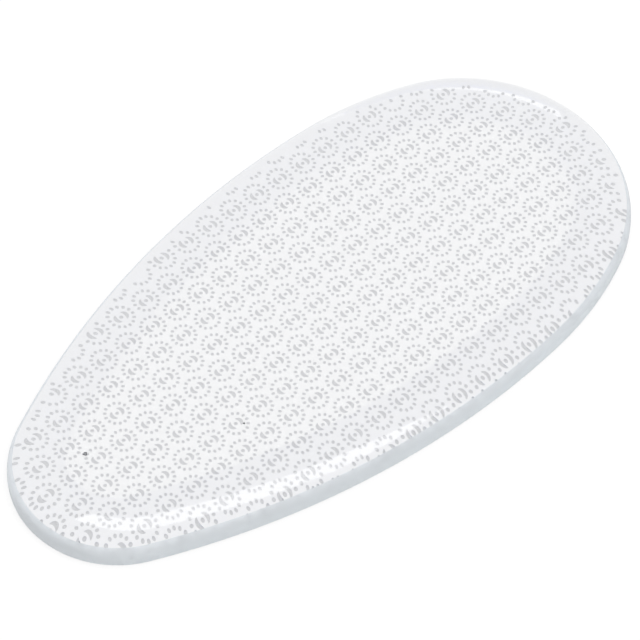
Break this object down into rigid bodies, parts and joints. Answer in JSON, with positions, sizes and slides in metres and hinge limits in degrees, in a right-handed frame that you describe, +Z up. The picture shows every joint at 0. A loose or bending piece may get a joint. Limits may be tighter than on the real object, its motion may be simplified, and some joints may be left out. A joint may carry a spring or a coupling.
{
  "type": "glass foot file",
  "caption": "Egg-shaped slab of clear glass with a broad, soft rounding, its underside etched with staggered rows of small rosettes for filing hard skin.",
  "frame": {"origin": "middle of the underside, the etched face that the file rests on", "axes": "+X along the file from the narrow tip to the broad end, +Y across, +Z up through the thickness"},
  "size_m": [0.1194, 0.0592, 0.0051],
  "materials": {
    "clear_glass": "clear and polished, with an etched filing face"
  },
  "bodies": {
    "root": {"glass_file": "clear_glass"}
  },
  "joints": []
}
